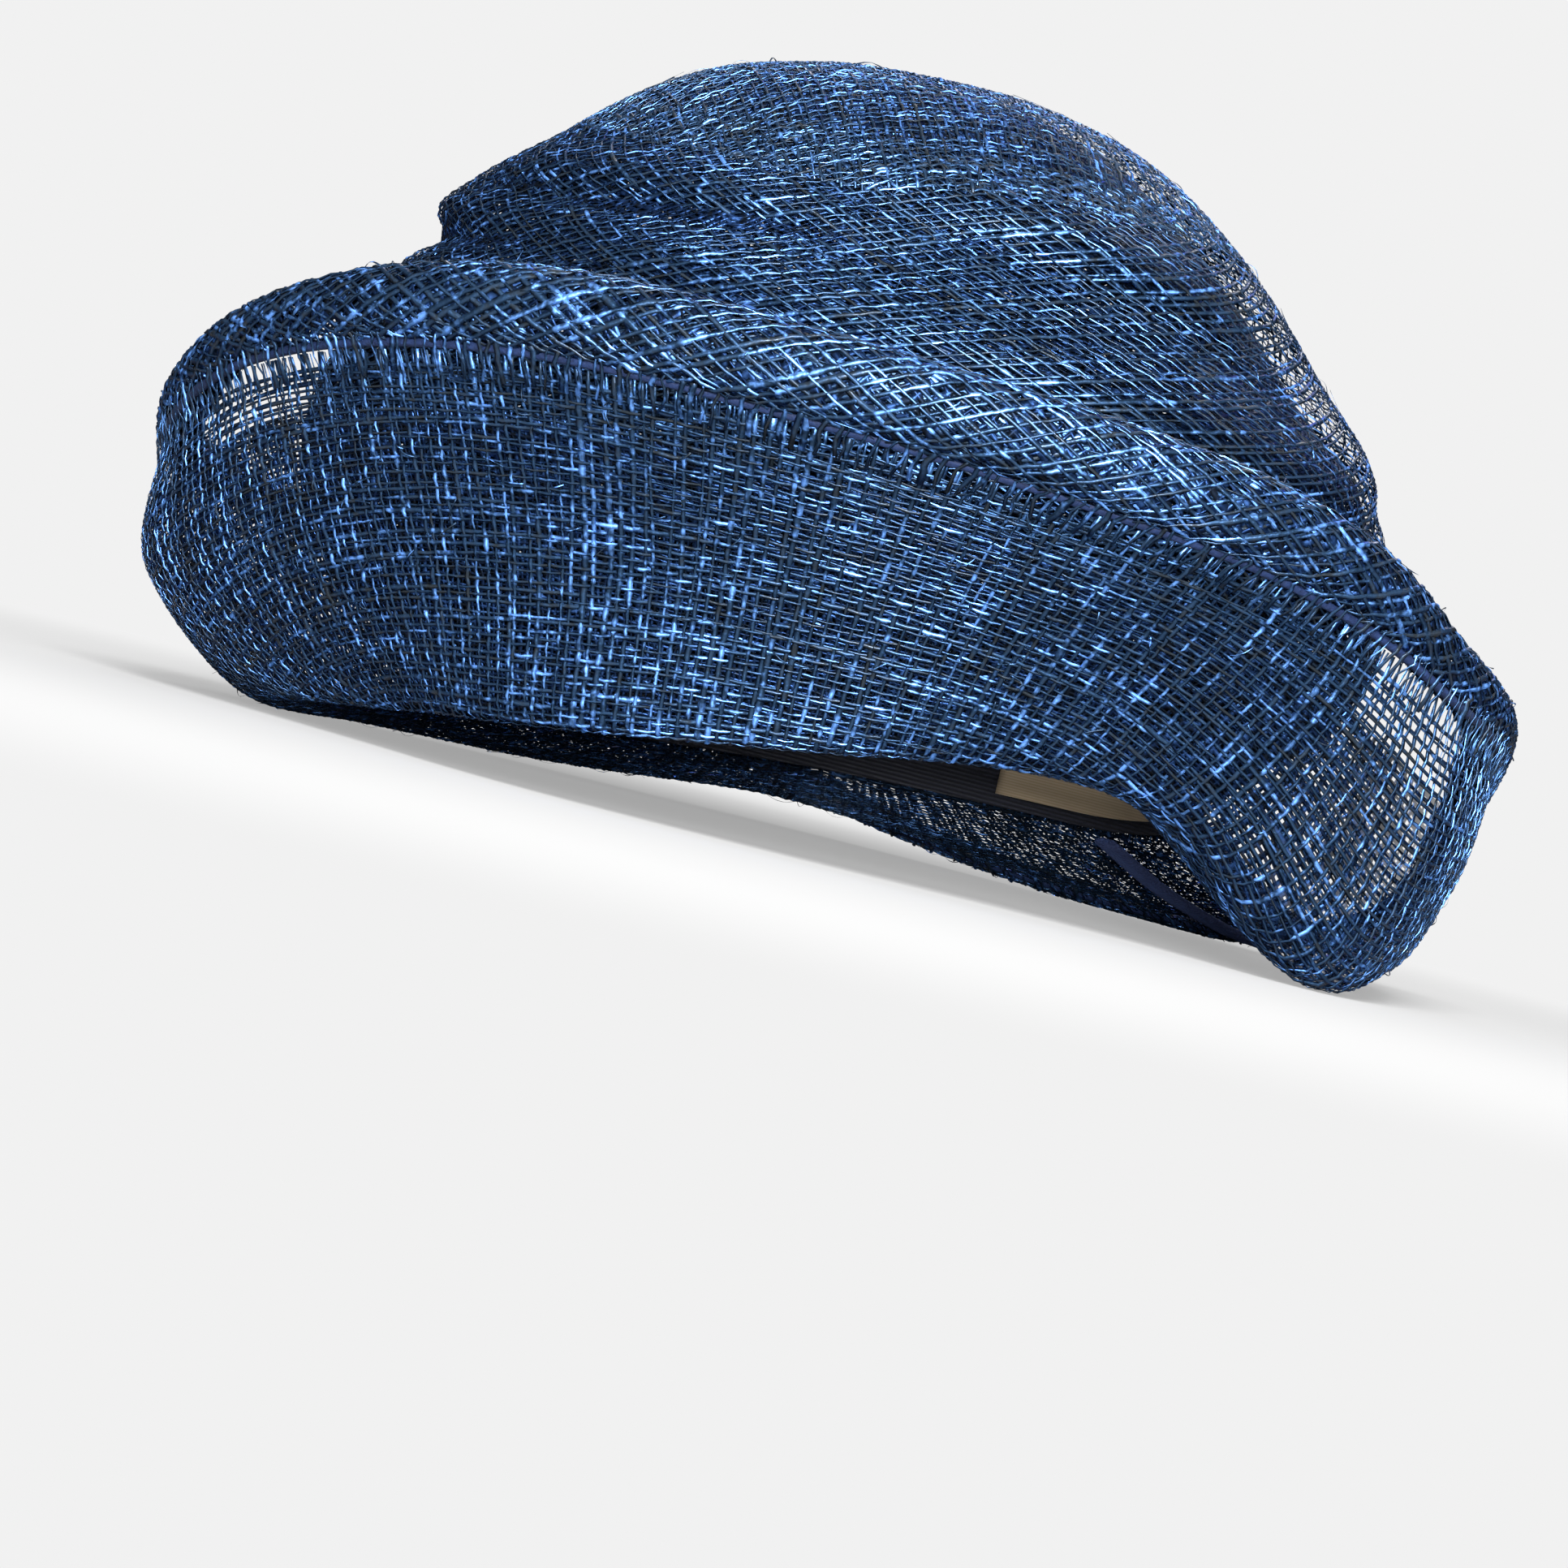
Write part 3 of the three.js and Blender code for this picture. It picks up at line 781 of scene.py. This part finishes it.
def brim_points(angle):
    """Profile of the brim's middle from the head opening to its edge: collar, fold, belly, edge."""
    lean = edge_lean(angle)
    up_brim = np.stack((np.sin(lean), np.cos(lean)), axis=-1)
    return [
        np.stack((head_line(angle), round_the_head("headZ", angle) - COLLAR), axis=-1),
        brim_place("fold", angle),
        brim_place("belly", angle),
        brim_place("edge", angle) - up_brim * (WIRE_RADIUS + GAP),
    ]


head_edge = np.stack((head_line(dense), round_the_head("headZ", dense)), axis=-1)[None]
profile = curve_through(brim_points(dense), np.linspace(0, 1, BRIM_ROWS))
brim_profile, _ = evenly(np.concatenate((head_edge, profile)), BRIM_ROWS)
brim_cloth = Cloth(dense, brim_profile[..., 0], brim_profile[..., 1])


def woven(cloth, up_count, round_count, lift, back, skew, top=1.0):
    """Threads across a cloth and round it, each over and under the others. Two plies with like
    counts nest, and drift apart only as their skew and top differ."""
    same_each_time = np.random.default_rng(5)
    made = []
    jitter = same_each_time.uniform(-0.25, 0.25, up_count)
    starts = BACK_SEAM_ANGLE + 360 * (np.arange(up_count) + jitter) / up_count
    jitter = same_each_time.uniform(-0.2, 0.2, round_count)
    shares = np.clip((np.arange(round_count) + jitter) / (round_count - 1) * top, 0, 1)
    up = np.append(shares, 1.0) if top < 1 else shares
    for k, start in enumerate(starts):
        wander = np.interp(up, np.linspace(0, 1, 5), same_each_time.normal(0, 0.18, 5))
        points, normals = cloth.at(start + wander + skew * up, up)
        made.append(over_and_under(points, normals, k, lift, back))
    angle = np.append(starts, starts[0] + 360)
    knots = np.linspace(BACK_SEAM_ANGLE, BACK_SEAM_ANGLE + 360, 25)
    for j, share in enumerate(shares):
        wander = np.interp(angle, knots, same_each_time.normal(0, 0.004, 25))
        wander[-1] = wander[0]
        points, normals = cloth.at(angle + skew * share, np.clip(share + wander, 0, 1))
        made.append(over_and_under(points, normals, j + 1, lift, back))
    return made


UP_THREADS = 296
ROUND_THREADS = 50
for name, back, skew, top, straw in (
    ("brim_outer_ply", 0.35, 2, 0.955, navy_straw),
    ("brim_inner_ply", -0.45, 1.1, 0.94, painted_shade_brim_straw),
):
    runs = woven(brim_cloth, UP_THREADS, ROUND_THREADS, THREAD_LIFT, back, skew, top)
    widths = (fibre_widths(UP_THREADS, 0.6, 1.4), fibre_widths(ROUND_THREADS, 0.45, 1.1))
    tones = (chance.uniform(0.3, 1, UP_THREADS), chance.uniform(0, 0.8, ROUND_THREADS))
    ply = strands(name, runs, np.concatenate(widths), 0.24, np.concatenate(tones))
    ply.data.materials.append(straw)
    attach(ply, "root")
    if back > 0:
        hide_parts("brim")

fine_brim = fine_ply_material("fine_straw_brim", True, (800, 100, 1), (3, 92), 1.6, True)
fine_ply("brim_fine_ply", brim_cloth, 0.01, 0.86, back=0.05, rows=20, look=fine_brim)

# ---- Edge wire ------------------------------------------------------------------------------
# A wire wound with dull navy thread, sewn along the brim's edge.
WIRE_SIDES = 10
wire_turns = np.arange(WIRE_SIDES) * 2 * math.pi / WIRE_SIDES
around = np.arange(0, 360, 1)
edge_out = round_the_head("edgeR", around)[:, None] + np.cos(wire_turns) * WIRE_RADIUS
edge_up = round_the_head("edgeZ", around)[:, None] + np.sin(wire_turns) * WIRE_RADIUS
wire_rings = place(around[:, None], edge_out, edge_up)
wire = loft("covered_edge_wire", settled(wire_rings), closed=True)
wound_thread, tree, shader = material("wound_thread")
coords = tree.nodes.new("ShaderNodeTexCoord")
windings = noise(tree.nodes, tree.links, coords.outputs["Object"], 900)
two_tone(tree, shader, windings, (0.002, 0.004, 0.014, 1), (0.006, 0.016, 0.055, 1))
relief(tree, shader, windings, 0.0003)
shader.inputs["Roughness"].default_value = 0.7
shader.inputs["Specular IOR Level"].default_value = 0.15
wire.data.materials.append(wound_thread)
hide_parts("edge_wire")
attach(wire, "root")

# The last threads of the brim are turned over the wire and caught under the roll.
lean = edge_lean(dense)
up_brim = np.stack((np.sin(lean), np.cos(lean)), axis=-1)
off_brim = np.stack((np.cos(lean), -np.sin(lean)), axis=-1)
edge = brim_place("edge", dense)
over = curve_through(
    [
        edge - up_brim * 7 + off_brim * 0.7,
        edge - up_brim * 3.5 + off_brim * 1.0,
        edge - up_brim * 0.8 + off_brim * 1.65,
        edge + up_brim * 1.0 + off_brim * 1.55,
        edge + up_brim * 2.6 + off_brim * 1.9,
    ],
    np.linspace(0, 1, 24),
)
over_wire = Cloth(dense, over[..., 0], over[..., 1])
TURNED_THREADS = 340
runs = woven(over_wire, TURNED_THREADS, 6, lift=0.12, back=0, skew=0.5)[:TURNED_THREADS]
widths = fibre_widths(TURNED_THREADS, 0.5, 1.5)
tones = chance.uniform(0, 1, TURNED_THREADS)
turned_over = strands("turned_over_edge", runs, widths, THREAD_DEPTH, tones)
turned_over.data.materials.append(navy_straw)
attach(turned_over, "root")

# ---- Roll -----------------------------------------------------------------------------------
# A bias strip of straw sewn under the wire that curls back over the outside of the brim, full
# in front and a thin hem behind.
ROLL_LEAN = math.radians(35)
ROLL_SWEEP = math.radians(230)
start = edge_lean(dense) + ROLL_LEAN
radius = round_the_head("rollR", dense)
outwards = np.stack((np.sin(start), np.cos(start)), axis=-1)
begin = edge + outwards * (WIRE_RADIUS + GAP)
middle = begin + np.stack((-outwards[:, 1], outwards[:, 0]), axis=-1) * radius[:, None]
turn = start[None, :] - ROLL_SWEEP * np.linspace(0, 1, 48)[:, None]
roll_out = middle[None, :, 0] + np.cos(turn) * radius
roll_up = middle[None, :, 1] - np.sin(turn) * radius
roll_cloth = Cloth(dense, roll_out, roll_up)


def bias_threads(cloth, count, sweep, steps, back):
    """Slanting threads across the curled strip."""
    made = []
    t = np.linspace(0, 1, steps + 1)
    for k in range(count):
        start = 360 * (k + chance.uniform(-0.25, 0.25)) / count
        wander = spread(chance.normal(0, 0.25, 4), steps + 1)
        points, normals = cloth.at(start + sweep * t + wander, t)
        made.append(over_and_under(points, normals, k, THREAD_LIFT, back))
    return made


runs = []
for sweep, back in ((25, 0.3), (-25, 0.3), (23, -0.3), (-27, -0.3)):
    runs += bias_threads(roll_cloth, count=175, sweep=sweep, steps=24, back=back)
widths = fibre_widths(len(runs), 0.6, 1.6)
roll = strands("bias_roll", runs, widths, 0.25, chance.uniform(0, 1, len(runs)))
roll.data.materials.append(navy_straw)
fine_roll = fine_ply_material("fine_straw_roll", True, (880, 28, 1), (40, -42), 1.9)
fine_ply("roll_fine_ply", roll_cloth, 0, 1, back=0, rows=16, look=fine_roll)
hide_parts("brim_roll")
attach(roll, "root")

# ---- Stray fibres ---------------------------------------------------------------------------
# Split ends that stand off the straw, and small loops where a thread has lifted.
# about how far out a stray starts, and how long the cloth is from its low to its high edge
MEAN_BRIM_REACH = 125
MEAN_CLIMB = 140
strays = []
for cloth, count, share_low, share_high in (
    (crown_cloth, 200, 0.15, 0.9), (brim_cloth, 220, 0.35, 0.95), (roll_cloth, 120, 0.05, 0.7),
):
    for k in range(count):
        angle = chance.uniform(0, 360)
        share = chance.uniform(share_low, share_high)
        way = chance.uniform(0, 2 * math.pi)
        length = chance.uniform(2.5, 8)
        t = np.linspace(0, 1, 6)
        reach = np.degrees(length / MEAN_BRIM_REACH) * math.cos(way) * t
        climb = length / MEAN_CLIMB * math.sin(way) * t
        points, normals = cloth.at(angle + reach, np.clip(share + climb, 0, 1))
        lift = chance.uniform(0.3, 1.1)
        rise = np.sin(math.pi * t) * lift if k % 3 else t**1.6 * lift
        strays.append((points + normals * (0.5 + rise)[:, None], normals))
widths = chance.uniform(0.18, 0.4, len(strays))
loose = strands("stray_fibres", strays, widths, 0.1, chance.uniform(0, 1, len(strays)), twist=40)
loose.data.materials.append(navy_straw)
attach(loose, "root")

# ---- Back seam ------------------------------------------------------------------------------
# Where the brim's ends meet behind, the join is bound with a soft, flat velvet tube underneath.
SEAM_WIDTH = 8.5
SEAM_HEIGHT = 2.6
SEAM_SECTIONS = 60
SEAM_SIDES = 12
seam_angle = math.radians(BACK_SEAM_ANGLE)
seam_share = np.linspace(0.045, 0.985, SEAM_SECTIONS)
seam_mid, seam_down = brim_cloth.at(np.full(SEAM_SECTIONS, float(BACK_SEAM_ANGLE)), seam_share)
if seam_down[SEAM_SECTIONS // 2, 2] > 0:
    seam_down = -seam_down
seam_mid = seam_mid + seam_down * (CLOTH / 2 + GAP + SEAM_HEIGHT / 2)
across = np.array((math.cos(seam_angle), math.sin(seam_angle), 0))
turns = np.arange(SEAM_SIDES)[:, None] * 2 * math.pi / SEAM_SIDES
seam_rings = [
    p + np.cos(turns) * down * SEAM_HEIGHT / 2 + np.sin(turns) * across * SEAM_WIDTH / 2
    for p, down in zip(seam_mid, seam_down)
]
seam = loft("bound_back_seam", settled(np.array(seam_rings)))
velvet, tree, shader = material("navy_velvet")
coords = tree.nodes.new("ShaderNodeTexCoord")
pile = noise(tree.nodes, tree.links, coords.outputs["Object"], 1500)
two_tone(tree, shader, pile, (0.005, 0.009, 0.03, 1), (0.02, 0.035, 0.11, 1))
relief(tree, shader, pile, 0.0003)
shader.inputs["Roughness"].default_value = 0.9
shader.inputs["Sheen Weight"].default_value = 0.3
shader.inputs["Sheen Tint"].default_value = (0.08, 0.16, 0.5, 1)
seam.data.materials.append(velvet)
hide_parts("brim_back_seam")
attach(seam, "root")

# ---- Label ----------------------------------------------------------------------------------
# A plain woven cotton tape sewn to the headband behind.
LABEL_WIDTH = 68
LABEL_HEIGHT = 16
LABEL_THICKNESS = 0.6
LABEL_LIFT = 3
half = math.degrees(LABEL_WIDTH / 2 / head_line(BACK_SEAM_ANGLE))
label_angles = np.linspace(BACK_SEAM_ANGLE - half, BACK_SEAM_ANGLE + half, 40)
outer = head_line(label_angles) - CLOTH / 2 - GAP - BAND_THICKNESS - GAP
inner = outer - LABEL_THICKNESS
bottom = round_the_head("headZ", label_angles) - BAND_DROP + LABEL_LIFT
top = bottom + LABEL_HEIGHT
label_corners = ((outer, bottom), (inner, bottom), (inner, top), (outer, top))
label_rings = np.stack([place(label_angles, out, up) for out, up in label_corners], axis=1)
label = loft("plain_label", settled(label_rings))
tape, tree, shader = material("cotton_tape")
coords = tree.nodes.new("ShaderNodeTexCoord")
weave = tree.nodes.new("ShaderNodeTexWave")
weave.bands_direction = "Z"
weave.inputs["Scale"].default_value = 500
tree.links.new(coords.outputs["Object"], weave.inputs["Vector"])
two_tone(tree, shader, weave.outputs["Fac"], (0.50, 0.38, 0.24, 1), (0.62, 0.50, 0.34, 1))
shader.inputs["Roughness"].default_value = 0.8
label.data.materials.append(tape)
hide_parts("label")
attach(label, "root")

# ---- Studio ---------------------------------------------------------------------------------
# A pale floor that runs into a pale backdrop, soft lights, and the camera.
FLOOR_RADIUS = 6
PALE = (0.88, 0.88, 0.88, 1)
floor_bm = bmesh.new()
bmesh.ops.create_circle(floor_bm, cap_ends=True, segments=128, radius=FLOOR_RADIUS)
floor_mesh = bpy.data.meshes.new("floor")
floor_bm.to_mesh(floor_mesh)
floor_bm.free()
floor = bpy.data.objects.new("floor", floor_mesh)
bpy.context.scene.collection.objects.link(floor)
paper, tree, shader = material("pale_paper")
shader.inputs["Base Color"].default_value = (0.2, 0.2, 0.2, 1)
shader.inputs["Roughness"].default_value = 1
shader.inputs["Specular IOR Level"].default_value = 0
coords = tree.nodes.new("ShaderNodeTexCoord")
away = tree.nodes.new("ShaderNodeVectorMath")
away.operation = "LENGTH"
tree.links.new(coords.outputs["Object"], away.inputs[0])
far = ramped(tree.nodes, tree.links, away.outputs["Value"], 0.1, 0.5, 0.4, 1.0)
ray = tree.nodes.new("ShaderNodeLightPath")
seen = number(tree.nodes, tree.links, "MULTIPLY", far, ray.outputs["Is Camera Ray"])
glow = tree.nodes.new("ShaderNodeEmission")
glow.inputs["Color"].default_value = PALE
blend = tree.nodes.new("ShaderNodeMixShader")
tree.links.new(seen, blend.inputs["Fac"])
tree.links.new(shader.outputs[0], blend.inputs[1])
tree.links.new(glow.outputs[0], blend.inputs[2])
tree.links.new(blend.outputs[0], tree.nodes["Material Output"].inputs["Surface"])
floor.data.materials.append(paper)

world = bpy.data.worlds.new("soft_room")
bpy.context.scene.world = world
world.use_nodes = True
tree = world.node_tree
around = tree.nodes["Background"]
around.inputs["Color"].default_value = (1, 1, 1, 1)
around.inputs["Strength"].default_value = 0.12
backdrop = tree.nodes.new("ShaderNodeBackground")
backdrop.inputs["Color"].default_value = PALE
ray = tree.nodes.new("ShaderNodeLightPath")
blend = tree.nodes.new("ShaderNodeMixShader")
tree.links.new(ray.outputs["Is Camera Ray"], blend.inputs["Fac"])
tree.links.new(around.outputs[0], blend.inputs[1])
tree.links.new(backdrop.outputs[0], blend.inputs[2])
tree.links.new(blend.outputs[0], tree.nodes["World Output"].inputs["Surface"])

CAMERA_TURN = math.radians(33)
CAMERA_DROP = math.radians(3.9)
CAMERA_ROLL = math.radians(12.5)
CAMERA_DISTANCE = 1000
AIM_HEIGHT = 60
ASIDE = 3
LOWERED = 42
VIEW_WIDTH = 338
SENSOR_WIDTH = 36
a, e = CAMERA_TURN, CAMERA_DROP
level = np.array((math.cos(a), math.sin(a), 0))
upright = np.array((-math.sin(a) * math.sin(e), math.cos(a) * math.sin(e), math.cos(e)))
look = np.array((-math.sin(a) * math.cos(e), math.cos(a) * math.cos(e), -math.sin(e)))
aim = np.array((0, 0, float(AIM_HEIGHT))) - ASIDE * level - LOWERED * upright
stand = aim - CAMERA_DISTANCE * look
right = math.cos(CAMERA_ROLL) * level + math.sin(CAMERA_ROLL) * upright
above = -math.sin(CAMERA_ROLL) * level + math.cos(CAMERA_ROLL) * upright
axes = [Vector(tipped(v)) for v in (right, above, -look)]
camera = bpy.data.objects.new("camera", bpy.data.cameras.new("camera"))
camera.data.sensor_width = SENSOR_WIDTH
camera.data.lens = SENSOR_WIDTH * CAMERA_DISTANCE / VIEW_WIDTH
turned = Matrix(axes).transposed().to_4x4()
camera.matrix_world = Matrix.Translation(Vector(settled(stand))) @ turned
bpy.context.scene.collection.objects.link(camera)
bpy.context.scene.camera = camera


def soft_light(name, towards, distance, size, power):
    """A square, white soft box at a direction from the hat, turned to it."""
    lamp = bpy.data.lights.new(name, "AREA")
    lamp.size = size
    lamp.energy = power
    holder = bpy.data.objects.new(name, lamp)
    aim = Vector((0, 0, 0.08))
    way = Vector(towards).normalized()
    holder.location = aim + way * distance
    holder.rotation_mode = "QUATERNION"
    holder.rotation_quaternion = way.to_track_quat("Z", "Y")
    holder.visible_camera = False
    bpy.context.scene.collection.objects.link(holder)


soft_light("key", (0.55, -0.80, 0.52), 1.5, 0.45, 122)
soft_light("low", (0.56, -0.82, 0.1), 1.5, 0.35, 96)
soft_light("fill", (-0.6, -0.9, 0.5), 1.6, 1.2, 2)
soft_light("top", (0.4, -0.6, 1), 1.2, 0.3, 4)
soft_light("behind", (-0.5, 1, 0.8), 1.8, 1.0, 24)
soft_light("side", (1, 0.9, 0.6), 1.8, 1.0, 5)
bpy.context.scene.view_settings.view_transform = "Standard"
